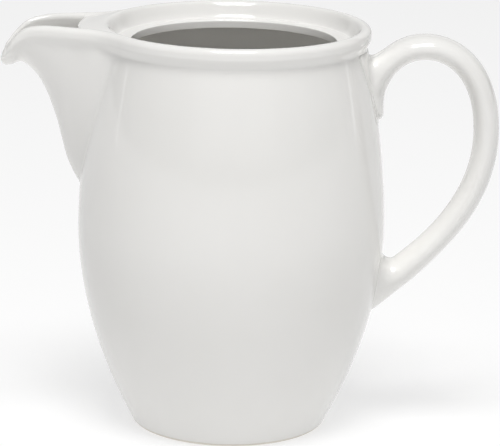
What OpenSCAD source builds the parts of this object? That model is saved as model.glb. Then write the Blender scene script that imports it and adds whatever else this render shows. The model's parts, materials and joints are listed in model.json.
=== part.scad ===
// Glazed porcelain pitcher: barrel body, standing ring, rolled rim with a lid seat inside it,
// cast pouring spout with a bridge across it, and a cast ear handle.
// Origin: centre of the standing plane. +Z up, spout towards -X, handle towards +X.

/* [Body] */
// Largest radius of the barrel
belly_r = 53.5; // [52:0.5:55]
// Height of the widest place above the table
belly_z = 71.5; // [68:0.5:75]
// Radius at which the barrel's side, carried on straight, meets the table
foot_r = 33.5; // [32:0.5:35]
// Radius of the crease under the rim
neck_r = 45.8; // [45.4:0.1:46.2]
// Height of the crease under the rim
neck_z = 134.8; // [134:0.2:136]
// Thickness of the barrel's wall
wall = 3.6; // [3.2:0.1:4]
// Thickness of the bottom
floor_t = 4.2; // [3.6:0.2:5]

/* [Foot] */
// Radius of the rounded outer edge of the standing ring
foot_round = 2.5; // [2:0.1:3]
// Width of the flat that stands on the table
foot_flat = 1.4; // [1:0.1:2]
// Depth of the hollow inside the standing ring
foot_recess = 2.2; // [1.6:0.2:3]

/* [Rim] */
// Height of the rim's top above the crease
rim_h = 7.2; // [6.8:0.2:8]
// Radius of the rolled edge
roll_r = 2.2; // [2:0.1:2.4]
// Overhang of the rolled edge beyond the crease
roll_out = 1.5; // [1.2:0.1:1.8]
// Radius of the throat that a lid's collar enters
throat_r = 35.5; // [35:0.1:36]
// Width of the flat ledge that a lid lies on
ledge_w = 4.8; // [4.4:0.1:5.2]
// Depth of the lid ledge below the rim's top
ledge_drop = 5.5; // [5:0.1:5.6]
// Height of the throat's wall
throat_h = 2.9; // [2.8:0.1:3.2]

/* [Spout] */
// Distance from the axis to the spout's tip
spout_reach = 80.4; // [78:0.2:83]
// Height at which the spout leaves the barrel
spout_root_z = 84.5; // [82:0.5:88]
// Half the width of the spout where it meets the barrel
spout_half_w = 21.5; // [20:0.5:23]
// Thickness of the spout's wall
spout_wall = 3.2; // [2.8:0.1:3.6]
// Distance from the axis to the bridge's front edge
bridge_r = 53.2; // [52:0.2:54]
// Thickness of the bridge
bridge_t = 2.4; // [2:0.1:3]

/* [Handle] */
// Distance from the axis to the middle of the handle at its widest
handle_reach = 88; // [86:0.5:91]
// Thickness of the handle, seen from the side
handle_t = 8.8; // [8:0.2:9.6]
// Width of the handle, seen from the end
handle_w = 15; // [13:0.5:17]

/* [Hidden] */
$fn = 96;

glaze = [0.93, 0.93, 0.91];
biscuit = [0.90, 0.87, 0.82];
rim_top = neck_z + rim_h;
// Where separately cast pieces meet the barrel they stand off its exact surface by this much.
standoff = 0.04;

// ---- Curves of the barrel and the rim ----

// How fast the barrel's side draws in below and above its widest place
below_power = 1.93;
above_power = 1.7;

// Outer radius of the barrel at height z
function barrel_r(z) = z < belly_z
    ? belly_r - (belly_r - foot_r) * pow((belly_z - z) / belly_z, below_power)
    : belly_r - (belly_r - neck_r) * pow(min(1, (z - belly_z) / (neck_z - belly_z)), above_power);

roll_z = rim_top - roll_r;
roll_c = neck_r + roll_out - roll_r;
// Height at which the rim's outer face becomes upright
face_z = roll_z - 1;

// Outer radius of the rim at height z: an S-shaped face, then the rolled edge
function rim_r(z) = z > roll_z
    ? roll_c + sqrt(max(0, roll_r * roll_r - pow(z - roll_z, 2)))
    : z > face_z
    ? roll_c + roll_r
    : neck_r + roll_out * (1 - cos(180 * (z - neck_z) / (face_z - neck_z))) / 2;

// Outer radius of the whole vessel at height z, and its depth along X at a distance y off centre
function shell_r(z) = z < neck_z ? barrel_r(z) : rim_r(z);
function shell_x(y, z) = sqrt(pow(shell_r(z) + standoff, 2) - y * y);

// ---- Small tools ----

function mix(a, b, t) = a + (b - a) * t;
function reversed(list) = [for (i = [len(list) - 1 : -1 : 0]) list[i]];
function bezier(p, t) = pow(1 - t, 3) * p[0] + 3 * pow(1 - t, 2) * t * p[1]
    + 3 * (1 - t) * t * t * p[2] + pow(t, 3) * p[3];
// Smooth curve through the rows of a list, u running from 0 to the last row's index
function through(rows, u) =
    let (
        last = len(rows) - 1,
        i = min(floor(u), last - 1),
        t = u - i,
        a = rows[max(i - 1, 0)],
        b = rows[i],
        c = rows[i + 1],
        d = rows[min(i + 2, last)],
        squared = 2 * a - 5 * b + 4 * c - d,
        cubed = 3 * b - a - 3 * c + d
    ) 0.5 * (2 * b + (c - a) * t + squared * t * t + cubed * t * t * t);

// Faces that close a ring: one flat face, or a strip that pairs the ring's two long sides
function flat_cap(count) = [[for (j = [0 : count - 1]) j]];
function strip_cap(count) =
    let (n = count / 2 - 1) concat(
        [for (j = [0 : n - 2]) [j, j + 1, 2 * n - j - 1]],
        [for (j = [0 : n - 2]) [j, 2 * n - j - 1, 2 * n - j]],
        [[n - 1, n, n + 1], [2 * n, 2 * n + 1, 0]]
    );

// Closed skin over a stack of rings that all have the same number of points
module skin(rings, cap) {
    count = len(rings[0]);
    last = len(rings) - 1;
    sides = [
        for (i = [0 : last - 1], j = [0 : count - 1], half = [0, 1])
            let (
                k = (j + 1) % count,
                a = i * count + j,
                b = i * count + k,
                c = a + count,
                d = b + count
            ) half == 0 ? [a, b, d] : [a, d, c]
    ];
    near_end = [for (face = cap) [for (j = [len(face) - 1 : -1 : 0]) face[j]]];
    far_end = [for (face = cap) [for (j = face) last * count + j]];
    points = [for (ring = rings, p = ring) p];
    polyhedron(points = points, faces = concat(sides, near_end, far_end), convexity = 8);
}

// ---- Standing ring ----

// Slope of the barrel's side at the table, as an angle from upright
foot_lean = atan((belly_r - foot_r) * below_power / belly_z);
// Centre of the rounded edge, which touches the table and the barrel's side
foot_c = foot_r + foot_round * tan(foot_lean) - foot_round / cos(foot_lean);
foot_top = foot_round * (1 - sin(foot_lean));
// Radius of the rounded inner edge
inner_edge = 1;
foot_in = foot_c - foot_flat - inner_edge;

module foot_ring() {
    color(biscuit)
    rotate_extrude()
    polygon(concat(
        [
            for (a = [-90 : 10 : -foot_lean])
                [foot_c + foot_round * cos(a), foot_round * (1 + sin(a))]
        ],
        [[foot_c + foot_round * cos(foot_lean), foot_top], [foot_in, foot_top]],
        [
            for (a = [180 : 15 : 270])
                [foot_in + inner_edge * (1 + cos(a)), inner_edge * (1 + sin(a))]
        ]
    ));
}

// ---- Barrel ----

profile_steps = 28;
inner_round = 9;
floor_z = foot_recess + floor_t;
inner_z = floor_z + inner_round;
inner_r = barrel_r(inner_z) - wall;

module body() {
    outside = [
        for (i = [0 : profile_steps])
            let (z = mix(foot_top, neck_z, i / profile_steps)) [barrel_r(z), z]
    ];
    inside = [
        for (i = [profile_steps : -1 : 0])
            let (z = mix(inner_z, neck_z, i / profile_steps)) [barrel_r(z) - wall, z]
    ];
    corner = [
        for (a = [-15 : -15 : -90])
            [inner_r - inner_round + inner_round * cos(a), inner_z + inner_round * sin(a)]
    ];
    underside = [[0, foot_recess], [foot_in - 2, foot_recess], [foot_in, foot_top]];
    color(glaze)
    difference() {
        rotate_extrude() polygon(concat(outside, inside, corner, [[0, floor_z]], underside));
        spout_passage();
    }
}

// ---- Rim, and the lid seat inside it ----

ledge_z = rim_top - ledge_drop;
throat_bottom = ledge_z - throat_h;
// Radius at which the flat ledge meets the slope of the rim
ledge_r = throat_r + ledge_w;
// Rounding of the ledge's inner edge
edge_r = 0.5;

function rim_outside() = concat(
    [for (i = [0 : 6]) let (z = mix(neck_z, face_z, i / 6)) [rim_r(z), z]],
    [for (a = [0 : 15 : 150]) [roll_c + roll_r * cos(a), roll_z + roll_r * sin(a)]]
);

module rim() {
    slope_foot = [
        [ledge_r + 1, ledge_z + 1.2],
        [ledge_r + 0.7, ledge_z + 0.4],
        [ledge_r, ledge_z]
    ];
    color(glaze)
    rotate_extrude()
    polygon(concat(rim_outside(), slope_foot, [[ledge_r, neck_z]]));
}

// Flat ledge that a lid lies on, and the round throat that its collar enters
module lid_seat() {
    throat_c = throat_r + edge_r;
    upper_z = ledge_z - edge_r;
    lower_z = throat_bottom + edge_r;
    throat = concat(
        [for (a = [90 : 30 : 180]) [throat_c + edge_r * cos(a), upper_z + edge_r * sin(a)]],
        [for (a = [180 : 30 : 270]) [throat_c + edge_r * cos(a), lower_z + edge_r * sin(a)]]
    );
    inside_wall = [[neck_r - wall, throat_bottom], [neck_r - wall, neck_z]];
    color(glaze)
    rotate_extrude()
    polygon(concat(throat, inside_wall, [[ledge_r, neck_z], [ledge_r, ledge_z]]));
}

// ---- Spout ----

// Rows from the root to the tip, as distances from the axis and heights:
// underside x and z, lip x and z, half the width at the lip, roundness of the keel
spout_rows = [
    [53.0, spout_root_z, 42.0, 141.2, spout_half_w, 1.5],
    [57.3, 94.0, 49.5, 142.0, 17.2, 1.6],
    [61.2, 109.0, 56.5, 142.2, 15.0, 1.8],
    [66.2, 121.3, 64.0, 142.2, 12.6, 2.0],
    [72.6, 127.7, 71.5, 140.6, 10.4, 2.0],
    [77.0, 126.4, 76.8, 136.0, 8.8, 2.0],
    [spout_reach - 0.8, 127.6, spout_reach, 131.6, 6.4, 2.0]
];
spout_steps = 20;
keel_steps = 9;

// One side of a U-shaped section: from the keel (0) to the lip (1) of a superellipse
function keel_point(i, power) =
    let (a = 90 * i / keel_steps) [pow(sin(a), 2 / power), 1 - pow(cos(a), 2 / power)];

// U-shaped line of a row, drawn in by some thickness, from one lip to the other
function spout_line(row, inset, keel_inset) = [
    for (side = [-1, 1], i = [0 : keel_steps])
        let (
            n = side < 0 ? keel_steps - i : i,
            k = keel_point(n, row[5]),
            length = norm([row[2] - row[0], row[3] - row[1]]),
            s = mix(keel_inset / length, 1, k[1])
        )
        if (side < 0 || i > 0)
            [-mix(row[0], row[2], s), side * (row[4] - inset) * k[0], mix(row[1], row[3], s)]
];

// The same line laid on the barrel's surface where the spout is rooted
function on_shell(line) = [for (p = line) [-shell_x(p[1], p[2]), p[1], p[2]]];

function spout_outside(u) =
    let (line = spout_line(through(spout_rows, u), 0, 0)) u == 0 ? on_shell(line) : line;
function spout_inside(u) =
    let (
        taper = u / (len(spout_rows) - 1),
        thickness = mix(spout_wall, spout_wall * 0.7, taper),
        keel_thickness = mix(spout_wall * 1.6, spout_wall * 0.7, taper),
        line = spout_line(through(spout_rows, u), thickness, keel_thickness)
    ) u == 0 ? on_shell(line) : line;

// Rounded top of a lip, between the outer and the inner line
function lip(a, b) = [(a + b) / 2 + [0, 0, spout_wall / 4]];

function spout_ring(u) =
    let (out = spout_outside(u), in = spout_inside(u), n = len(out))
    concat(out, lip(out[n - 1], in[n - 1]), reversed(in), lip(in[0], out[0]));

module spout() {
    last = len(spout_rows) - 1;
    rings = [for (i = [0 : spout_steps]) spout_ring(last * i / spout_steps)];
    color(glaze)
    skin(rings, strip_cap(len(rings[0])));
}

// The opening that the spout's channel makes through the barrel's wall
module spout_passage() {
    opening = [for (p = spout_inside(0)) if (p[2] < neck_z) [-p[1], p[2]]];
    lips = [[opening[len(opening) - 1][0], neck_z + 1], [opening[0][0], neck_z + 1]];
    translate([-neck_r + 2 * wall, 0, 0])
    rotate([90, 0, -90])
    linear_extrude(height = belly_r)
    polygon(concat(opening, lips));
}

// ---- Bridge across the spout ----

bridge_drop = 0.7;

module spout_bridge() {
    side = [
        for (i = [0 : 4])
            let (row = through(spout_rows, i / 2)) [-row[2], row[4] - spout_wall - 0.3]
    ];
    plan = concat(side, reversed([for (p = side) [p[0], -p[1]]]));
    rolled_edge = [for (p = rim_outside()) if (p[0] > roll_c - 0.1) p];
    color(glaze)
    difference() {
        translate([0, 0, rim_top - bridge_drop - bridge_t])
        linear_extrude(height = bridge_t)
        intersection() {
            circle(r = bridge_r);
            polygon(plan);
        }
        rotate_extrude() polygon(concat([[0, neck_z]], rolled_edge, [[0, rim_top]]));
    }
}

// ---- Handle ----

handle_sides = 24;
handle_rings = 26;
flow_rings = 6;
// Two smooth curves in the plane of the handle, given as distances from the axis and heights:
// from the upper root to the widest place, and from there to the lower root
widest_z = 104.8;
handle_upper = [[51.4, 126.2], [58.8, 141.3], [handle_reach, 139], [handle_reach, widest_z]];
handle_lower = [[handle_reach, widest_z], [handle_reach, 78.5], [67.5, 61.5], [52, 49]];
// Places on the two curves (0 to 1, then 1 to 2) where the oval starts and ends
oval_start = 0.22;
oval_end = 1.86;

// Patches where the handle is stuck to the barrel: middle height, half height, half width,
// how much wider it is at its top, how far its edge stands up, and which way up the oval meets it
upper_root = [120.8, 11.6, 12.5, 0.25, 2.5, 1];
lower_root = [50.8, 10.2, 10.5, 0, 1.2, -1];

function handle_at(u) = u < 1 ? bezier(handle_upper, u) : bezier(handle_lower, u - 1);
function handle_dir(u) =
    let (d = handle_at(min(u + 0.01, 2)) - handle_at(max(u - 0.01, 0))) d / norm(d);

// Oval ring round the curve at u; the handle thickens towards its lower root
function handle_ring(u) =
    let (
        c = handle_at(u),
        d = handle_dir(u),
        swell = 1 + 0.3 * pow(max(0, u - 1.5) / 0.5, 2),
        a = handle_t / 2 * swell,
        b = handle_w / 2
    )
    [
        for (i = [0 : handle_sides - 1])
            let (t = 360 * i / handle_sides)
                [c[0] - d[1] * a * cos(t), -b * sin(t), c[1] + d[0] * a * cos(t)]
    ];

// Edge of a patch on the barrel, drawn in by a factor
function root_ring(root, factor) = [
    for (i = [0 : handle_sides - 1])
        let (
            t = 360 * i / handle_sides,
            up = cos(t) * root[5],
            y = -factor * root[2] * (1 + root[3] * up) * sin(t),
            z = root[0] + factor * root[1] * up
        )
            [shell_x(y, z), y, z]
];

// Rings that flow from the edge of a patch into an oval ring that faces along a direction
function flow(root, ring, facing) =
    let (edge = root_ring(root, 1), inner = root_ring(root, 0.5), out = [root[4], 0, 0])
    [
        for (s = [0 : flow_rings - 1])
        [
            for (i = [0 : handle_sides - 1])
                let (
                    reach = 0.42 * norm(ring[i] - edge[i]),
                    leave = mix(edge[i], inner[i], 0.25) + out,
                    arrive = ring[i] - [facing[0], 0, facing[1]] * reach
                )
                bezier([edge[i], leave, arrive, ring[i]], s / flow_rings)
        ]
    ];

module handle() {
    // A patch is closed by smaller and smaller copies of its edge
    shrink = [0.04, 0.35, 0.7];
    upper_flow = flow(upper_root, handle_ring(oval_start), handle_dir(oval_start));
    lower_flow = flow(lower_root, handle_ring(oval_end), -handle_dir(oval_end));
    rings = concat(
        [for (f = shrink) root_ring(upper_root, f)],
        upper_flow,
        [for (i = [0 : handle_rings]) handle_ring(mix(oval_start, oval_end, i / handle_rings))],
        reversed(lower_flow),
        [for (f = reversed(shrink)) root_ring(lower_root, f)]
    );
    color(glaze)
    skin(rings, flat_cap(handle_sides));
}

body();
foot_ring();
rim();
lid_seat();
spout();
spout_bridge();
handle();
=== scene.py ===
"""Looks of a glazed porcelain pitcher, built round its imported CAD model.

Lengths in the shape code are millimetres and become metres when a mesh is made.
The barrel stands on its axis, the spout points to -X and the handle to +X.
"""
import json
import math

import bmesh
import bpy
import numpy as np
from mathutils import Matrix, Vector


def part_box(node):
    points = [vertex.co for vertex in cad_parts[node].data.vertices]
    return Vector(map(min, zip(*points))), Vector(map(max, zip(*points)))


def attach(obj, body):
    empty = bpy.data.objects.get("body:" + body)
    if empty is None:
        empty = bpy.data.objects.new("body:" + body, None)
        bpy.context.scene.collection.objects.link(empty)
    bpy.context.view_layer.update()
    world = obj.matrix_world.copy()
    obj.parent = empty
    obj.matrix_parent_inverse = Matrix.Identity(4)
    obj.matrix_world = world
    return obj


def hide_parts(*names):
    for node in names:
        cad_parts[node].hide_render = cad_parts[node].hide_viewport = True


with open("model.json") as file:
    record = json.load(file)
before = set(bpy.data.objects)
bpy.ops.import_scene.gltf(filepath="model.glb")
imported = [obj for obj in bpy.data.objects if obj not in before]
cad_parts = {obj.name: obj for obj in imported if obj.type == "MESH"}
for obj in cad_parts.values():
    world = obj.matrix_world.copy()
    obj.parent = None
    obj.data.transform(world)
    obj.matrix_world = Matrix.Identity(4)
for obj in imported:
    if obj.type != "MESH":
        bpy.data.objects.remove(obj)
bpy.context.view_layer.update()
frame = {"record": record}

MM = 0.001


# ---- Sizes that come from the frame ----

LOW, HIGH = 0, 1
X, Y, Z = 0, 1, 2


def edge_mm(node, end, axis):
    """Where a CAD node begins (LOW) or ends (HIGH) along an axis, in millimetres."""
    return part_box(node)[end][axis] / MM


mounts = {mount["name"]: mount for mount in frame["record"]["mounts"]}

BELLY_R = edge_mm("body", HIGH, Y)
NECK_Z = edge_mm("body", HIGH, Z)
BODY_LOW_Z = edge_mm("body", LOW, Z)
FOOT_TOP = edge_mm("foot_ring", HIGH, Z)
RIM_TOP = edge_mm("rim", HIGH, Z)
RIM_R = edge_mm("rim", HIGH, Y)
SEAT_R = edge_mm("lid_seat", HIGH, Y)
LEDGE_Z = edge_mm("lid_seat", HIGH, Z)
THROAT_Z = edge_mm("lid_seat", LOW, Z)
THROAT_R = mounts["lid_throat"]["dims"]["r_mm"]
TIP_REACH = -edge_mm("spout", LOW, X)
BRIDGE_R = -edge_mm("spout_bridge", LOW, X)
HANDLE_OUT = edge_mm("handle", HIGH, X)

# ---- Shape of the barrel and rim ----

BELLY_Z = 71.5
FOOT_R = 33.5
ROLL_R = 2.2
ROLL_C = RIM_R - ROLL_R
ROLL_Z = RIM_TOP - ROLL_R
NECK_R = ROLL_C + 0.7
BELOW_POWER = 1.93
ABOVE_POWER = 1.7
WALL = NECK_R - SEAT_R
FLOOR_T = 4.2
FOOT_RECESS = BODY_LOW_Z + 0.9
LEDGE_R = THROAT_R + 4.8
# The crease under the rim is a soft valley between these two heights
VALLEY_LOW = NECK_Z - 0.5
VALLEY_HIGH = ROLL_Z - 1.2
# A small step, for measuring slopes and directions
NUDGE = 0.01
# Columns of the round pieces
AROUND = 256


def smooth(t):
    """Eases from 0 to 1 with no slope at either end."""
    t = np.clip(t, 0, 1)
    return t * t * (3 - 2 * t)


def ease(value, start, end):
    """Eases from 0 to 1 as a value goes from start to end."""
    return smooth((value - start) / (end - start))


def mix(a, b, t):
    return a + (b - a) * t


def barrel_r(z):
    """Outer radius of the barrel at height z."""
    below = np.clip((BELLY_Z - z) / BELLY_Z, 0, None) ** BELOW_POWER
    above = np.clip((z - BELLY_Z) / (NECK_Z - BELLY_Z), 0, None) ** ABOVE_POWER
    return BELLY_R - (BELLY_R - FOOT_R) * below - (BELLY_R - NECK_R) * above


def vessel_r(z):
    """Outer radius of barrel, crease and rim at height z."""
    z = np.asarray(z, float)
    span = VALLEY_HIGH - VALLEY_LOW
    t = np.clip((z - VALLEY_LOW) / span, 0, 1)
    start = barrel_r(VALLEY_LOW)
    slope = (barrel_r(VALLEY_LOW + NUDGE) - start) / NUDGE
    valley = mix(start, ROLL_C + ROLL_R, smooth(t)) + slope * span * t * (1 - t) ** 2
    above_roll = np.clip(z - ROLL_Z, 0, None)
    roll = ROLL_C + np.sqrt(np.clip(ROLL_R ** 2 - above_roll ** 2, 0, None))
    return np.where(z < VALLEY_LOW, barrel_r(z), np.where(z < VALLEY_HIGH, valley, roll))


def vessel_lean(z):
    """How far the outside at height z leans upward: radius lost for each millimetre of height."""
    return (vessel_r(z - NUDGE) - vessel_r(z + NUDGE)) / (2 * NUDGE)


def on_vessel(r, angle, z):
    """Points at a radius and height, at an angle from the spout's side towards +Y."""
    return np.stack([-r * np.cos(angle), r * np.sin(angle), z], 1)


# ---- Mesh tools ----

def grid_faces(rows, columns, wrap=False):
    """Quads over a grid of points that is stored row by row."""
    last = columns if wrap else columns - 1
    i, j = np.meshgrid(np.arange(rows - 1), np.arange(last), indexing="ij")
    here = i * columns
    above = here + columns
    k = (j + 1) % columns
    quads = np.stack([here + j, here + k, above + k, above + j], -1)
    return quads.reshape(-1, 4).tolist()


def closing_band(ring):
    """Quads that close a ring of point numbers by joining its two sides."""
    back = ring[::-1]
    return [
        [ring[j], ring[j + 1], back[j + 1], back[j]]
        for j in range(len(ring) // 2)
        if len(ring) - 2 * j > 2
    ]


def bezier(p0, p1, p2, p3, t):
    return (1 - t) ** 3 * p0 + 3 * (1 - t) ** 2 * t * p1 + 3 * (1 - t) * t * t * p2 + t ** 3 * p3


def unit(vectors):
    """Vectors drawn to length 1, row by row."""
    return vectors / np.linalg.norm(vectors, axis=1, keepdims=True)


def through(rows, u):
    """Smooth curve through the rows of an array; u runs from 0 to the last row's index."""
    last = len(rows) - 1
    i = min(int(u), last - 1)
    t = u - i
    a, b, c, d = rows[max(i - 1, 0)], rows[i], rows[i + 1], rows[min(i + 2, last)]
    squared = 2 * a - 5 * b + 4 * c - d
    cubed = 3 * b - a - 3 * c + d
    return 0.5 * (2 * b + (c - a) * t + squared * t ** 2 + cubed * t ** 3)


def arc(centre, radius, start, end, count):
    """Points along a circular arc in the plane of a profile, angles in degrees."""
    a = np.radians(np.linspace(start, end, count))
    return np.stack([centre[0] + radius * np.cos(a), centre[1] + radius * np.sin(a)], 1)


# Edges that bend by more degrees than this are shown sharp
SHARP_ANGLE = 50
# Points closer than the first, and edges shorter than the second, are joined
SAME_POINT = 0.0005 * MM
NO_LENGTH = 0.0001 * MM


def make_piece(name, node, points, faces, material):
    """A smooth closed mesh that takes the place of a CAD node."""
    mesh = bpy.data.meshes.new(name)
    mesh.from_pydata((np.asarray(points) * MM).tolist(), [], faces)
    piece = bpy.data.objects.new(name, mesh)
    bpy.context.scene.collection.objects.link(piece)
    tidy_mesh(mesh)
    mesh.shade_smooth()
    mesh.set_sharp_from_angle(angle=math.radians(SHARP_ANGLE))
    mesh.materials.append(material)
    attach(piece, "root")
    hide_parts(node)


def tidy_mesh(mesh):
    """Joins points that lie together, drops what bounds no face and turns all faces outward."""
    shape = bmesh.new()
    shape.from_mesh(mesh)
    bmesh.ops.remove_doubles(shape, verts=shape.verts, dist=SAME_POINT)
    bmesh.ops.dissolve_degenerate(shape, edges=shape.edges, dist=NO_LENGTH)
    for parts, context in ((shape.edges, "EDGES"), (shape.verts, "VERTS")):
        loose = [part for part in parts if not part.link_faces]
        bmesh.ops.delete(shape, geom=loose, context=context)
    bmesh.ops.recalc_face_normals(shape, faces=shape.faces)
    shape.to_mesh(mesh)
    shape.free()


def revolve(profile):
    """Points and quads of a closed profile of radii and heights, turned about the axis."""
    profile = np.asarray(profile, float)
    angle = 2 * np.pi * np.arange(AROUND) / AROUND
    x = -np.outer(profile[:, 0], np.cos(angle))
    y = -np.outer(profile[:, 0], np.sin(angle))
    z = np.repeat(profile[:, 1:2], AROUND, 1)
    points = np.stack([x, y, z], -1)
    points = np.concatenate([points, points[:1]])
    return points.reshape(-1, 3), grid_faces(len(profile) + 1, AROUND, wrap=True)


# ---- Materials ----

def new_material(name):
    material = bpy.data.materials.new(name)
    material.use_nodes = True
    tree = material.node_tree
    return material, tree, tree.nodes["Principled BSDF"]


def add(tree, kind, **settings):
    """A node with its properties and unlinked inputs set by name."""
    node = tree.nodes.new(kind)
    for key, value in settings.items():
        if hasattr(node, key):
            setattr(node, key, value)
        else:
            node.inputs[key.replace("_", " ")].default_value = value
    return node


def noise(tree, coordinates, scale, detail=2.0, roughness=0.5):
    node = add(tree, "ShaderNodeTexNoise", Scale=scale, Detail=detail, Roughness=roughness)
    tree.links.new(coordinates, node.inputs["Vector"])
    return node.outputs["Fac"]


def remap(tree, value, low, high, to_low, to_high):
    """Stretches a value from one range to another."""
    node = tree.nodes.new("ShaderNodeMapRange")
    tree.links.new(value, node.inputs["Value"])
    names = ("From Min", "From Max", "To Min", "To Max")
    for name, number in zip(names, (low, high, to_low, to_high)):
        node.inputs[name].default_value = number
    return node.outputs["Result"]


def bump(tree, shader, height, distance):
    """Lets a pattern raise the surface by up to a distance in millimetres, at a mild strength."""
    node = add(tree, "ShaderNodeBump", Strength=0.12, Distance=distance * MM)
    tree.links.new(height, node.inputs["Height"])
    tree.links.new(node.outputs["Normal"], shader.inputs["Normal"])


def two_colours(tree, value, first, second):
    node = tree.nodes.new("ShaderNodeValToRGB")
    node.color_ramp.elements[0].color = (*first, 1)
    node.color_ramp.elements[1].color = (*second, 1)
    tree.links.new(value, node.inputs["Fac"])
    return node.outputs["Color"]


def glaze_material():
    """Clear gloss glaze over white porcelain, with a slow drift of tone and a faint orange peel."""
    material, tree, shader = new_material("porcelain_glaze")
    where = tree.nodes.new("ShaderNodeTexCoord").outputs["Object"]
    drift = remap(tree, noise(tree, where, 26, 3), 0.35, 0.65, 0, 1)
    tone = two_colours(tree, drift, (0.862, 0.853, 0.829), (0.876, 0.867, 0.845))
    tree.links.new(tone, shader.inputs["Base Color"])
    roughness = remap(tree, noise(tree, where, 900, 3), 0.3, 0.7, 0.05, 0.10)
    tree.links.new(roughness, shader.inputs["Roughness"])
    bump(tree, shader, noise(tree, where, 320, 2), 0.02)
    shader.inputs["IOR"].default_value = 1.5
    return material


def biscuit_material():
    """Bare fired clay, ground smooth where the pitcher stands."""
    material, tree, shader = new_material("bare_biscuit")
    where = tree.nodes.new("ShaderNodeTexCoord").outputs["Object"]
    grain = noise(tree, where, 2600, 4, 0.6)
    tone = two_colours(tree, grain, (0.66, 0.62, 0.55), (0.80, 0.77, 0.71))
    tree.links.new(tone, shader.inputs["Base Color"])
    tree.links.new(remap(tree, grain, 0.3, 0.7, 0.7, 0.95), shader.inputs["Roughness"])
    bump(tree, shader, grain, 0.06)
    return material


def floor_material():
    """Pale matt floor that glows a little, as a lit studio sweep does."""
    material, tree, shader = new_material("studio_floor")
    where = tree.nodes.new("ShaderNodeTexCoord").outputs["Object"]
    tone = two_colours(tree, noise(tree, where, 3), (0.34, 0.34, 0.34), (0.36, 0.36, 0.36))
    tree.links.new(tone, shader.inputs["Base Color"])
    shader.inputs["Roughness"].default_value = 0.9
    shader.inputs["Specular IOR Level"].default_value = 0.1
    shader.inputs["Emission Color"].default_value = (1, 1, 1, 1)
    shader.inputs["Emission Strength"].default_value = 0.66
    return material


GLAZE = glaze_material()
BISCUIT = biscuit_material()


# ---- Standing ring ----

FOOT_ROUND = 2.5
FOOT_LEAN = math.atan((BELLY_R - FOOT_R) * BELOW_POWER / BELLY_Z)
FOOT_C = FOOT_R + FOOT_ROUND * math.tan(FOOT_LEAN) - FOOT_ROUND / math.cos(FOOT_LEAN)
INNER_EDGE = 1
FOOT_FLAT = 1.4
FOOT_IN = FOOT_C - FOOT_FLAT - INNER_EDGE


def build_foot_ring():
    outer = arc((FOOT_C, FOOT_ROUND), FOOT_ROUND, -90, -math.degrees(FOOT_LEAN), 16)
    inner = arc((FOOT_IN + INNER_EDGE, INNER_EDGE), INNER_EDGE, 180, 270, 8)
    top = [[mix(outer[-1][0], FOOT_IN, t), FOOT_TOP] for t in (0.33, 0.67, 1)]
    points, faces = revolve(np.concatenate([outer, top, inner]))
    make_piece("foot_ring_bare", "foot_ring", points, faces, BISCUIT)


# ---- Barrel ----

BODY_ROWS = 110
# Height where the wall's evenly spaced rows begin
WALL_START = 24
# Roundings of the corner inside the pitcher and of the step round the recess under it
INNER_ROUND = 9
RECESS_ROUND = 2.5
# The opening in the wall behind the spout: a rounded shape that is wider at its top
HOLE_Z = 113.5
HOLE_HALF_HEIGHT = 18.5
HOLE_HALF_WIDTH = 14.5
HOLE_WIDENING = 0.3
HOLE_SQUARENESS = 2.4
HOLE_EDGE_ROUND = 2.2
HOLE_RINGS = 12
# The edge is found by halving a reach that is surely too long, this many times
HOLE_FAR = 40.0
HOLE_HALVINGS = 40
# The window round the opening where rings take the place of the barrel's own grid
WINDOW_HALF_ANGLE = 27
WINDOW_HALF = round(AROUND * WINDOW_HALF_ANGLE / 360)
WINDOW_LOW = HOLE_Z - HOLE_HALF_HEIGHT - 3
WINDOW_HIGH = HOLE_Z + HOLE_HALF_HEIGHT + 1.2


def hole_reach(direction):
    """Distance from the opening's centre to its edge along unit directions of (across, up)."""
    low = np.zeros(len(direction))
    high = np.full(len(direction), HOLE_FAR)
    for _ in range(HOLE_HALVINGS):
        reach = (low + high) / 2
        across = np.abs(direction[:, 0]) * reach
        up = direction[:, 1] * reach / HOLE_HALF_HEIGHT
        across_share = across / (HOLE_HALF_WIDTH * (1 + HOLE_WIDENING * up))
        inside = across_share ** HOLE_SQUARENESS + np.abs(up) ** HOLE_SQUARENESS < 1
        low = np.where(inside, reach, low)
        high = np.where(inside, high, reach)
    return low


def body_inside(inner_z):
    """Profile of the round inner corner and the floor, then of the recess under the pitcher."""
    corner_r = barrel_r(inner_z) - WALL - INNER_ROUND
    corner = arc((corner_r, inner_z), INNER_ROUND, -6, -90, 14)
    floor = [[corner_r * (1 - t), inner_z - INNER_ROUND] for t in np.linspace(0, 1, 9)[1:]]
    recess_r = FOOT_IN - RECESS_ROUND
    recess = [[recess_r * t, FOOT_RECESS] for t in np.linspace(0, 1, 9)]
    step_z = FOOT_TOP - 0.1
    drop = FOOT_RECESS - step_z
    step = arc((recess_r, step_z), drop, 90, 0, 7)[1:]
    step[:, 0] = mix(recess_r, FOOT_IN, (step[:, 0] - recess_r) / drop)
    return [corner, floor, recess, step]


def body_profile():
    """Closed profile of the barrel, the heights of its wall's rows and the first of those rows."""
    inner_z = FOOT_RECESS + FLOOR_T + INNER_ROUND
    wall_z = np.linspace(WALL_START, NECK_Z, BODY_ROWS)
    low_z = np.linspace(FOOT_TOP, WALL_START, 26)[:-1]
    inner_low_z = np.linspace(WALL_START, inner_z, 9)[1:]
    outside = np.stack([vessel_r(low_z), low_z], 1)
    outer_wall = np.stack([vessel_r(wall_z), wall_z], 1)
    inner_wall = np.stack([barrel_r(wall_z) - WALL, wall_z], 1)[::-1]
    inner_low = np.stack([barrel_r(inner_low_z) - WALL, inner_low_z], 1)
    parts = [outside, outer_wall, inner_wall, inner_low] + body_inside(inner_z)
    return np.concatenate(parts), wall_z, len(outside)


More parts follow.
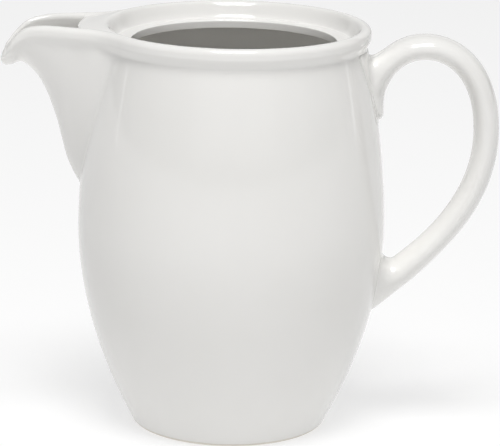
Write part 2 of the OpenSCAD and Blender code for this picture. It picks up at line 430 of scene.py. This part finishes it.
def window_line(wall_z, low_row, high_row):
    """Angles and heights of the grid's points round the edge of the window."""
    right, left = WINDOW_HALF, -WINDOW_HALF
    edge = [(column, low_row) for column in range(left, right)]
    edge += [(right, row) for row in range(low_row, high_row)]
    edge += [(column, high_row) for column in range(right, left, -1)]
    edge += [(left, row) for row in range(high_row, low_row, -1)]
    turn = 2 * np.pi / AROUND
    return np.array([[column * turn, wall_z[row]] for column, row in edge])


def opening_rings(line):
    """Rings from the window's edge to the rounded edge of the opening, outside and then inside."""
    direction = np.stack([line[:, 0] * barrel_r(HOLE_Z), line[:, 1] - HOLE_Z], 1)
    length = np.linalg.norm(direction, axis=1)
    reach = hole_reach(direction / length[:, None])
    rounding = np.minimum(HOLE_EDGE_ROUND, length - reach)
    rings = []
    for side in (1, -1):
        for share in 1 - (1 - np.arange(HOLE_RINGS + 1) / HOLE_RINGS) ** 2:
            distance = mix(length, reach, share)
            angle = line[:, 0] * distance / length
            z = HOLE_Z + (line[:, 1] - HOLE_Z) * distance / length
            near = 1 - np.clip((distance - reach) / rounding, 0, 1)
            middle_r = barrel_r(z) - WALL / 2
            r = middle_r + side * WALL / 2 * np.sqrt(np.clip(1 - near ** 2, 0, 1))
            if side > 0:
                r += np.where(z > VALLEY_LOW, vessel_r(z) - barrel_r(z), 0)
            rings.append(on_vessel(r, -angle, z))
    return rings


def build_body():
    profile, wall_z, outer_first = body_profile()
    points, faces = revolve(profile)
    inner_last = outer_first + 2 * BODY_ROWS - 1
    low_row = int(np.searchsorted(wall_z, WINDOW_LOW))
    high_row = int(np.searchsorted(wall_z, WINDOW_HIGH))
    outer_rows = range(outer_first + low_row, outer_first + high_row)
    inner_rows = range(inner_last - high_row, inner_last - low_row)

    def in_window(face):
        row, column = divmod(face[0], AROUND)
        in_columns = column < WINDOW_HALF or column >= AROUND - WINDOW_HALF
        return in_columns and (row in outer_rows or row in inner_rows)

    faces = [face for face in faces if not in_window(face)]
    rings = opening_rings(window_line(wall_z, low_row, high_row))
    count = len(rings[0])
    ring_faces = np.array(grid_faces(HOLE_RINGS + 1, count, wrap=True))
    for first in (0, HOLE_RINGS + 1):
        faces += (ring_faces + len(points) + first * count).tolist()
    points = np.concatenate([points] + rings)
    make_piece("barrel", "body", points, faces, GLAZE)


# ---- Rim and lid seat ----

# How far round the rim's roll goes before the slope to the ledge leaves it, in degrees
ROLL_TURN = 120
# How far the slope keeps the way in which it leaves the roll and reaches the ledge
SLOPE_START = 1.6
SLOPE_END = 1.3
# Rounding of the ledge's edges at the throat
SEAT_EDGE = 0.4


def build_rim():
    face_z = np.linspace(NECK_Z, ROLL_Z, 22)[:-1]
    face = np.stack([vessel_r(face_z), face_z], 1)
    roll = arc((ROLL_C, ROLL_Z), ROLL_R, 0, ROLL_TURN, 28)
    turn = math.radians(ROLL_TURN)
    downward = np.array([-math.sin(turn), math.cos(turn)])
    foot = np.array([LEDGE_R, LEDGE_Z])
    t = np.linspace(0, 1, 26)[1:, None]
    slope = bezier(roll[-1], roll[-1] + SLOPE_START * downward, foot + [SLOPE_END, 0], foot, t)
    inside = [[LEDGE_R, mix(LEDGE_Z, NECK_Z, t)] for t in (0.5, 1)]
    under = [[mix(LEDGE_R, NECK_R, t), NECK_Z] for t in (0.33, 0.67)]
    points, faces = revolve(np.concatenate([face, roll, slope, inside, under]))
    make_piece("rolled_rim", "rim", points, faces, GLAZE)


def build_lid_seat():
    edge_c = THROAT_R + SEAT_EDGE
    ledge = [[mix(LEDGE_R, edge_c, t), LEDGE_Z] for t in (0, 0.4, 0.8)]
    top_edge = arc((edge_c, LEDGE_Z - SEAT_EDGE), SEAT_EDGE, 90, 180, 9)
    low_edge = arc((edge_c, THROAT_Z + SEAT_EDGE), SEAT_EDGE, 180, 270, 9)
    back = [[SEAT_R, THROAT_Z], [SEAT_R, NECK_Z], [LEDGE_R, NECK_Z]]
    points, faces = revolve(np.concatenate([ledge, top_edge, low_edge, back]))
    make_piece("lid_ledge_and_throat", "lid_seat", points, faces, GLAZE)


# ---- Spout ----

# Rows from the root to the tip, as distances from the axis and heights: underside x and z,
# crest x and z, half width at the middle of the crest, radius of the crest, roundness of the keel
SPOUT_ROWS = np.array([
    [53.2, 84.8, 53.2, RIM_TOP, 21.9, ROLL_R, 1.5],
    [57.4, 94.0, 50.0, 142.3, 15.6, 2.1, 1.6],
    [61.4, 109.0, 57.0, 142.4, 13.5, 2.0, 1.8],
    [66.4, 121.3, 64.5, 142.3, 11.0, 1.9, 2.0],
    [72.4, 127.5, 71.0, 141.0, 8.8, 1.8, 2.0],
    [76.6, 126.7, 75.6, 137.3, 7.5, 1.8, 2.0],
    [TIP_REACH - 2.1, 126.5, 78.0, 134.2, 5.8, 1.8, 2.0],
])
# Thickness of the keel at each row
KEEL_T = [4.2, 3.6, 3.4, 3.4, 3.4, 3.8, 4.2]
INSIDE_POWER = 1.9
SIDE_WALL = 1.6
ROLL_DEPTH = 7.2
NECK_OUT = ROLL_R - 1.5

# Points of a half section: the outside flank, the round cap of the crest, then the inside flank
FLANK_STEPS = 72
CAP_STEPS = 18
CAP_START = FLANK_STEPS + 1
CAP_END = CAP_START + CAP_STEPS - 1
CAP_TURN = np.linspace(0, 180, CAP_STEPS + 1)[1:-1]
SPOUT_ROWS_PER_SPAN = 16

# Where the crest would meet the rim if the corner weren't rounded, and where the rounding ends
CORNER_ANGLE = math.radians(24.8)
JUNCTION_ANGLE = math.radians(37)
# Heights between which the root turns from the barrel's round into the rim's corner, for the line
# where the surfaces would meet and for the line where the fillet lands
CORNER_TURN = (133, 139)
LANDING_TURN = (131, 139)
# Half width of the channel in the wall, and how deep its root lies under the barrel's surface
CHANNEL_HALF = 18.2
CHANNEL_DEPTH = 0.5
# The fillet between spout and barrel: its width, and how far along the first span it leaves
SPOUT_FILLET = 1.5
FILLET_LEAVE = 0.16
FILLET_ROWS = 16
# How far seams lie under the surface that they meet, and how deep the spout's root is set in
SUNK = 0.01
ROOT_DEPTH = 0.35
# Directions in which the tip rounds off, at its keel and at its crest
KEEL_FORWARD = np.array([-1, 0, 0])
CREST_FORWARD = np.array([-0.72, -0.12, -0.68])


def half_section(row, keel_t):
    """One side of a U-shaped section as (across, up): outside, crest and inside."""
    length = math.hypot(row[2] - row[0], row[3] - row[1])
    crest_r = row[5]
    top = length - crest_r
    a = np.linspace(0, np.pi / 2, FLANK_STEPS + 1)
    roll_start = crest_r + 1
    roll_end = min(ROLL_DEPTH, max(0.6 * length, crest_r + 2))

    def flank(start, power, half_width, at_crest):
        up = start + (top - start) * (1 - np.cos(a) ** (2 / power))
        lift = smooth((roll_end - (length - up)) / (roll_end - roll_start))
        across = half_width * np.sin(a) ** (2 / power) + lift * (at_crest - half_width)
        return np.stack([across, up], 1)

    outside = flank(0, row[6], row[4] + NECK_OUT, row[4] + crest_r)
    inside = flank(keel_t, max(row[6], INSIDE_POWER), row[4] - SIDE_WALL, row[4] - crest_r)
    cap = arc((row[4], top), crest_r, 0, 180, CAP_STEPS + 1)[1:-1]
    return np.concatenate([outside, cap, inside[::-1]])


def place_section(row, side):
    """Lays one side of a section into the frame, on the side where Y is positive."""
    keel, crest = row[0:2], row[2:4]
    up = (crest - keel) / np.linalg.norm(crest - keel)
    return np.stack([-(keel[0] + up[0] * side[:, 1]), side[:, 0], keel[1] + up[1] * side[:, 1]], 1)


def spout_corner():
    """Radii, angles and heights of the line where the spout would meet barrel and rim."""
    side = half_section(SPOUT_ROWS[0], KEEL_T[0])
    z = SPOUT_ROWS[0][1] + side[:, 1]
    share = np.sin(np.linspace(0, np.pi / 2, CAP_START)) ** (2 / SPOUT_ROWS[0][6])
    r = vessel_r(z)
    across = side[:, 0].copy()
    across[:CAP_START] = (SPOUT_ROWS[0][4] + NECK_OUT) * share
    across[CAP_END:] = np.minimum(across[CAP_END:], CHANNEL_HALF)
    angle = np.arcsin(np.clip(across / r, 0, 1))
    angle[CAP_START:CAP_END] = CORNER_ANGLE
    r[CAP_START:CAP_END] = ROLL_C + ROLL_R * np.cos(np.radians(CAP_TURN))
    high = ease(z, *CORNER_TURN)
    angle = mix(angle, CORNER_ANGLE, high)
    r[CAP_END:] = mix(r[CAP_END:] - CHANNEL_DEPTH, ROLL_C - ROLL_R, high[CAP_END:])
    return r, angle, z


def spout_landing(r, angle, z):
    """The line on barrel and rim where the fillet lands, and the way outward along it.

    Low down the fillet lands square to the crease. Higher up (a share from 0 to 1, given as the
    third result) it turns level, and lands on the rim at the end of the rounded corner.
    """
    outer = slice(0, CAP_START)
    cap = slice(CAP_START, CAP_END)
    turn = np.radians(CAP_TURN)
    high = ease(z, *LANDING_TURN)
    sideways = np.gradient(angle[outer] * r[outer])
    rise = np.gradient(z[outer])
    size = np.hypot(sideways, rise)
    angle, z, r = angle.copy(), z.copy(), r.copy()
    angle[outer] += SPOUT_FILLET * rise / size / r[outer]
    z[outer] -= SPOUT_FILLET * sideways / size * (1 - high[outer])
    angle = mix(angle, JUNCTION_ANGLE, high)
    r[outer] = vessel_r(z[outer])
    r[:CAP_END] -= SUNK
    outward = on_vessel(np.ones_like(r), angle, 0 * z)
    outward[outer, 2] = vessel_lean(z[outer])
    outward[cap] *= np.cos(turn)[:, None]
    outward[cap, 2] = np.sin(turn)
    return on_vessel(r, angle, z), unit(outward), high


def fillet_heading(landing, corner, outward, high):
    """How the fillet leaves its landing line: along the surface towards the corner, level where high."""
    to_corner = corner - landing
    width = np.linalg.norm(to_corner, axis=1, keepdims=True)
    along_surface = to_corner - outward * np.sum(to_corner * outward, axis=1, keepdims=True)
    level = np.stack([-landing[:, 1], landing[:, 0], 0 * high], 1)
    return mix(along_surface, width * unit(level), high[:, None])


def spout_side():
    """Rows of points over one side of the spout, from its root in the wall to the tip."""
    r, angle, z = spout_corner()
    corner = on_vessel(r, angle, z)
    landing, outward, high = spout_landing(r, angle, z)
    rows = [corner]
    for row, keel_t in zip(SPOUT_ROWS[1:], KEEL_T[1:]):
        rows.append(place_section(row, half_section(row, keel_t)))
    rows = np.array(rows)
    last = len(rows) - 1

    def surface(u):
        """Points of the lofted surface, each at its own place along the spout."""
        return np.array([through(rows[:, i], u[i]) for i in range(len(u))])

    leave = mix(FILLET_LEAVE, 1.0, high)
    start = surface(leave)
    heading = unit(surface(leave + NUDGE) - start)
    reach = np.linalg.norm(start - corner, axis=1, keepdims=True)
    leave_landing = landing + fillet_heading(landing, corner, outward, high) * 2 / 3
    arrive = start - heading * reach * 2 / 3
    result = [landing - outward * ROOT_DEPTH]
    for t in np.linspace(0, 1, FILLET_ROWS + 1):
        result.append(bezier(landing, leave_landing, arrive, start, t))
    count = (last - 1) * SPOUT_ROWS_PER_SPAN
    for k in range(1, count + 1):
        result.append(surface(mix(leave, last, k / count)))
    return np.array(result)


def spout_nose(end):
    """Rows that round off the tip, drawing outside and inside together as they move forward."""
    middle = np.empty_like(end)
    middle[:CAP_START] = (end[:CAP_START] + end[: -CAP_START - 1 : -1]) / 2
    middle[-CAP_START:] = middle[:CAP_START][::-1]
    middle[CAP_START:-CAP_START] = middle[FLANK_STEPS]
    keel_z, crest_z = middle[0, 2], middle[FLANK_STEPS, 2]
    share = (middle[:, 2:3] - keel_z) / (crest_z - keel_z)
    forward = unit(mix(KEEL_FORWARD, CREST_FORWARD, share))
    size = np.linalg.norm(end[0] - end[-1]) / 2
    return [
        middle + (end - middle) * math.cos(t) + forward * size * math.sin(t)
        for t in np.linspace(0, np.pi / 2, 10)[1:]
    ]


def build_spout():
    """Builds the spout and returns the line along the crest of its lip."""
    side = spout_side()
    side = np.concatenate([side, spout_nose(side[-1])])
    other = side * [1, -1, 1]
    rings = np.concatenate([side, other[:, ::-1]], axis=1)
    rows, count = rings.shape[:2]
    half = count // 2
    faces = grid_faces(rows, count, wrap=True)
    # The root inside the wall is closed by a band on each side and one face between the two
    faces += closing_band(list(range(half)))
    faces += closing_band(list(range(half, count)))
    faces.append([0, half - 1, half, count - 1])
    make_piece("spout_shell", "spout", rings.reshape(-1, 3), faces, GLAZE)
    return side[1:, FLANK_STEPS + CAP_STEPS // 2]


# ---- Bridge across the spout ----

BRIDGE_T = 2.4
# The top sinks a little over this way out from the rim's crest, and rises this close to the lips
BRIDGE_DROP = 0.6
BRIDGE_DROP_WAY = 7
BRIDGE_RISE_WAY = 3.6
# The front edge stands out past the CAD bridge, and further in the corners at the lips
BRIDGE_LIP = 0.7
BRIDGE_CORNER = 3.0
BRIDGE_CORNER_WAY = 4
BRIDGE_HALF_ANGLE = 0.3
# The line along the lips is needed only as far out as this
LIP_REACH = 62
BRIDGE_ACROSS = 81
BRIDGE_UNDER_Z = RIM_TOP - BRIDGE_DROP - BRIDGE_T


def lip_line(crest):
    """Radii, angles and heights along the crest, as far out as the bridge needs them."""
    kept = crest[(crest[:, 0] > -LIP_REACH) & (crest[:, 2] > RIM_TOP - 1)]
    return np.hypot(kept[:, 0], kept[:, 1]), np.arctan2(kept[:, 1], -kept[:, 0]), kept[:, 2]


def bridge_top(lip, r, across):
    """Points of the top at radius r and a share across, from -1 to 1 between the two lips."""
    lip_r, lip_angle, lip_z = lip
    limit = np.interp(r, lip_r, lip_angle)
    gap = (1 - np.abs(across)) * limit * r
    base = RIM_TOP - BRIDGE_DROP * smooth((r - ROLL_C) / BRIDGE_DROP_WAY)
    z = mix(base, np.interp(r, lip_r, lip_z) - SUNK, 1 - smooth(gap / BRIDGE_RISE_WAY))
    return on_vessel(r, across * limit, z)


def build_bridge(crest):
    """Flat web between rim and lips: its top leaves the rim's crest and rises into the lips."""
    lip = lip_line(crest)
    across = np.sin(np.linspace(-np.pi / 2, np.pi / 2, BRIDGE_ACROSS))
    edge_r = BRIDGE_T / 2
    front = BRIDGE_R + BRIDGE_LIP - edge_r
    to_lip = (1 - np.abs(across)) * BRIDGE_HALF_ANGLE * front
    front_r = front + BRIDGE_CORNER * np.clip(1 - to_lip / BRIDGE_CORNER_WAY, 0, 1) ** 2
    rows = [bridge_top(lip, mix(ROLL_C, front_r, t), across) for t in np.linspace(0, 1, 40)]
    edge = rows[-1]
    outward = unit(rows[-1] - rows[-2])
    for turn in np.linspace(0, np.pi, 17)[1:]:
        drop = [0, 0, edge_r * (1 - math.cos(turn))]
        rows.append(edge + outward * edge_r * math.sin(turn) - drop)
    for t in np.linspace(1, 0, 12)[1:]:
        above = bridge_top(lip, mix(ROLL_C, front_r, t), across)
        rows.append(above * [1, 1, 0] + [0, 0, BRIDGE_UNDER_Z])
    points = np.array(rows + rows[:1])
    faces = grid_faces(len(points), BRIDGE_ACROSS)
    # The two ends, hidden inside the lips, are closed by bands between top and underside
    for column in (0, BRIDGE_ACROSS - 1):
        faces += closing_band([i * BRIDGE_ACROSS + column for i in range(len(rows))])
    make_piece("bridge_web", "spout_bridge", points.reshape(-1, 3), faces, GLAZE)


# ---- Handle ----

HANDLE_T = 8.8
HANDLE_W = 15
HANDLE_REACH = HANDLE_OUT - HANDLE_T / 2
WIDEST_Z = 104.8
# The handle's middle line is two curves that meet where it is widest
WIDEST = [HANDLE_REACH, WIDEST_Z]
UPPER_CURVE = np.array([[51.4, 126.2], [58.8, 141.3], [HANDLE_REACH, 139], WIDEST])
LOWER_CURVE = np.array([WIDEST, [HANDLE_REACH, 78.5], [67.5, 61.5], [52, 49]])
# Places along the middle line, from 0 at the top to 2 at the bottom: where the oval part begins
# and ends, and where it starts to swell by this share towards the lower root
OVAL_START = 0.22
OVAL_END = 1.82
SWELL = 0.3
SWELL_START = 1.5
# A small step along the middle line, for measuring which way it heads
LINE_STEP = 0.005
HANDLE_SIDES = 72
HANDLE_RINGS = 120
ROUND = 2 * np.pi * np.arange(HANDLE_SIDES) / HANDLE_SIDES
FLOW_RINGS = 26
STEP_RINGS = 5
PLATE_RINGS = 5
# Thickness of the plate under each root
UPPER_PLATE = 0.2
LOWER_PLATE = 0.04
# The handle's ends are closed by rings that shrink inside the wall
PLUG_SHARES = (0.02, 0.35, 0.7)
PLUG_DEPTH = 0.3
# Half outlines on the barrel, as distances to the side and heights, at equal steps of the angle
# round the handle from its outer to its inner side: the seam of a thin plate, and the root in it
UPPER_SEAM = np.array([
    [0, 134.0], [7, 134.2], [13.5, 134.6], [17.6, 134.4], [16.4, 130.2],
    [14.6, 125.4], [12.4, 120.0], [10.8, 114.4], [8.8, 109.8], [0, 108.3],
])
UPPER_ROOT = np.array([
    [0, 132.4], [4.2, 132.2], [7.4, 131.0], [9.0, 128.4], [9.6, 125.2],
    [9.8, 121.6], [9.4, 117.8], [8.4, 114.2], [6.4, 111.0], [0, 109.4],
])
LOWER_SEAM = np.array([
    [0, 40.2], [4.0, 41.1], [7.4, 43.3], [10.4, 46.4], [13.0, 49.8],
    [15.4, 53.2], [16.6, 56.8], [15.8, 60.2], [10.2, 62.2], [0, 62.4],
])
LOWER_ROOT = np.array([
    [0, 40.5], [3.2, 41.5], [5.8, 43.8], [7.8, 46.8], [9.2, 50.0],
    [10.2, 53.2], [10.6, 56.4], [9.8, 59.0], [6.6, 61.0], [0, 61.5],
])


def handle_at(u):
    """Point (x, z) of the handle's middle line."""
    if u < 1:
        return bezier(*UPPER_CURVE, u)
    return bezier(*LOWER_CURVE, u - 1)


def handle_heading(u):
    step = handle_at(min(u + LINE_STEP, 2)) - handle_at(max(u - LINE_STEP, 0))
    return step / np.linalg.norm(step)


def handle_ring(u):
    """Oval ring of points square to the handle's curve, which swells towards the lower root."""
    centre, heading = handle_at(u), handle_heading(u)
    swell = 1 + SWELL * (max(0, u - SWELL_START) / (2 - SWELL_START)) ** 2
    thick = HANDLE_T / 2 * swell * np.cos(ROUND)
    wide = -HANDLE_W / 2 * np.sin(ROUND)
    return np.stack([centre[0] - heading[1] * thick, wide, centre[1] + heading[0] * thick], 1)


def around(*values):
    """Values for the sides of the handle, given every 30 degrees from its outer to its inner side."""
    angle = np.degrees(np.arccos(np.cos(ROUND)))
    return np.interp(angle, np.arange(0, 181, 30), values)[:, None]


def barrel_line(outline, factor=1.0, proud=-SUNK):
    """Closed line on the barrel from a half outline, drawn in by a factor."""
    last = len(outline) - 1
    rows = np.concatenate([outline[1:2] * [-1, 1], outline, outline[-2:-1] * [-1, 1]])
    half = HANDLE_SIDES // 2
    side = np.array([through(rows, 1 + last * j / half) for j in range(half + 1)])
    line = np.concatenate([side * [-1, 1], side[-2:0:-1]])
    middle = (outline[0, 1] + outline[-1, 1]) / 2
    y = factor * line[:, 0]
    z = middle + factor * (line[:, 1] - middle)
    r = vessel_r(z) + proud
    return np.stack([np.sqrt(r ** 2 - y ** 2), y, z], 1)


def step_rows(start, turn_in, height):
    """Rows of a rounded step off the barrel's surface, and the way outward there."""
    z = start[:, 2]
    outward = unit(np.stack([start[:, 0], start[:, 1], vessel_lean(z) * vessel_r(z)], 1))
    rows = [
        start + height * (outward * math.sin(turn) + turn_in * (1 - math.cos(turn)))
        for turn in np.linspace(0, np.pi / 2, STEP_RINGS + 1)
    ]
    return rows, outward


def plate_rows(seam, root, plate_t):
    """Rows from the plate's seam on the barrel over its rounded edge to the root."""
    edge = barrel_line(seam)
    rows, _ = step_rows(edge, unit(barrel_line(seam, 0.8) - edge), plate_t)
    shift = rows[-1] - barrel_line(seam, 1, plate_t)
    for t in np.linspace(0, 1, PLATE_RINGS + 1)[1:-1]:
        plate = barrel_line(mix(seam, root, t), 1, plate_t)
        rows.append(plate + shift * (1 - t))
    return rows


def handle_flow(seam, root, plate_t, ring, heading, step, inward, outward, reach_share):
    """Rows from the plate's seam on the barrel over its root and on into an oval ring.

    The step's height and the pulls inward and outward are lengths for each side of the handle, and
    the reach is a share of the way from the root to the ring.
    """
    start = barrel_line(root, 1, plate_t)
    turn_in = unit(barrel_line(root, 0.8, plate_t) - start)
    steps, normal = step_rows(start, turn_in, step)
    start = steps[-1]
    leave = start + turn_in * inward + normal * outward
    reach = reach_share * np.linalg.norm(ring - start, axis=1, keepdims=True)
    arrive = ring - np.array([heading[0], 0, heading[1]]) * reach
    shares = np.linspace(0, 1, FLOW_RINGS + 1)[1:-1]
    flow = [bezier(start, leave, arrive, ring, t) for t in shares]
    return plate_rows(seam, root, plate_t) + steps + flow


def build_handle():
    upper = handle_flow(
        UPPER_SEAM, UPPER_ROOT, UPPER_PLATE, handle_ring(OVAL_START), handle_heading(OVAL_START),
        step=around(0.1, 0.1, 0.1, 0.1, 0.3, 1.0, 2.0),
        inward=around(4.0, 3.4, 2.8, 2.6, 3.6, 8.0, 12.0),
        outward=around(0.5, 0.5, 0.5, 0.5, 0.6, 0.9, 1.2),
        reach_share=around(0.42, 0.42, 0.42, 0.42, 0.40, 0.33, 0.27),
    )
    lower = handle_flow(
        LOWER_SEAM, LOWER_ROOT, LOWER_PLATE, handle_ring(OVAL_END), -handle_heading(OVAL_END),
        step=0.1,
        inward=around(1.2, 1.5, 2.0, 2.5, 2.5, 2.0, 1.6),
        outward=around(1.6, 1.2, 0.6, 0.5, 0.5, 0.5, 0.6),
        reach_share=0.42,
    )
    rings = [barrel_line(UPPER_SEAM, share, -PLUG_DEPTH) for share in PLUG_SHARES]
    rings += upper
    for t in np.linspace(0, 1, HANDLE_RINGS + 1):
        rings.append(handle_ring(mix(OVAL_START, OVAL_END, t)))
    rings += lower[::-1]
    rings += [barrel_line(LOWER_SEAM, share, -PLUG_DEPTH) for share in PLUG_SHARES[::-1]]
    faces = grid_faces(len(rings), HANDLE_SIDES, wrap=True)
    last = (len(rings) - 1) * HANDLE_SIDES
    faces.append(list(range(HANDLE_SIDES)))
    faces.append(list(range(last, last + HANDLE_SIDES)))
    make_piece("ear_handle", "handle", np.concatenate(rings), faces, GLAZE)


build_foot_ring()
build_body()
build_rim()
build_lid_seat()
crest_line = build_spout()
build_bridge(crest_line)
build_handle()


# ---- Studio: floor, lights, world and camera, in metres ----

def build_floor():
    mesh = bpy.data.meshes.new("studio_floor")
    half = 4
    corners = [(-half, -half, 0), (half, -half, 0), (half, half, 0), (-half, half, 0)]
    mesh.from_pydata(corners, [], [(0, 1, 2, 3)])
    mesh.materials.append(floor_material())
    floor = bpy.data.objects.new("studio_floor", mesh)
    bpy.context.scene.collection.objects.link(floor)


def soft_light(name, place, size, power, target=(0, 0, 0.07)):
    """A rectangular softbox of size (width, height) that faces a point."""
    data = bpy.data.lights.new(name, "AREA")
    data.shape = "RECTANGLE"
    data.size, data.size_y = size
    data.energy = power
    light = bpy.data.objects.new(name, data)
    bpy.context.scene.collection.objects.link(light)
    light.location = place
    light.rotation_euler = (Vector(target) - Vector(place)).to_track_quat("-Z", "Y").to_euler()


def build_world():
    world = bpy.data.worlds.new("studio")
    bpy.context.scene.world = world
    world.use_nodes = True
    background = world.node_tree.nodes["Background"]
    background.inputs["Color"].default_value = (1, 1, 1, 1)
    background.inputs["Strength"].default_value = 0.12


def build_camera():
    """The camera at the photograph's viewing angle, aimed at the middle of the pitcher's height."""
    elevation = math.radians(14.5)
    distance = 1.043
    aim_lift = 0.0002
    aim = Vector((0, 0, RIM_TOP / 2 * MM + aim_lift))
    back = Vector((0, -math.cos(elevation), math.sin(elevation)))
    data = bpy.data.cameras.new("camera")
    data.lens = 214.6
    data.sensor_width = 36
    data.shift_x = 0.0378
    camera = bpy.data.objects.new("camera", data)
    bpy.context.scene.collection.objects.link(camera)
    camera.location = aim + back * distance
    facing = (-back).to_track_quat("-Z", "Y")
    roll = Matrix.Rotation(math.radians(0.97), 4, "Z")
    camera.rotation_euler = (facing.to_matrix().to_4x4() @ roll).to_euler()
    data.clip_start, data.clip_end = 0.05, 20
    bpy.context.scene.camera = camera


build_floor()
build_world()
soft_light("overhead", (0, -0.7, 1.9), (0.8, 1.0), 34.5)
soft_light("front", (0, -2.0, 0.6), (2.6, 0.9), 2.3)
soft_light("back", (0, 2.4, 0.75), (4.0, 1.3), 8)
soft_light("side", (2.0, 0.6, 0.8), (1.6, 1.6), 2)
soft_light("strip_right", (1.41, 0.51, 0.26), (0.06, 0.5), 0.12)
soft_light("strip_left", (-1.48, 0.26, 0.26), (0.06, 0.5), 0.1)
build_camera()

scene = bpy.context.scene
scene.view_settings.view_transform = "Standard"
scene.view_settings.look = "None"
scene.cycles.use_denoising = True
scene.cycles.max_bounces = 8
scene.cycles.diffuse_bounces = 5
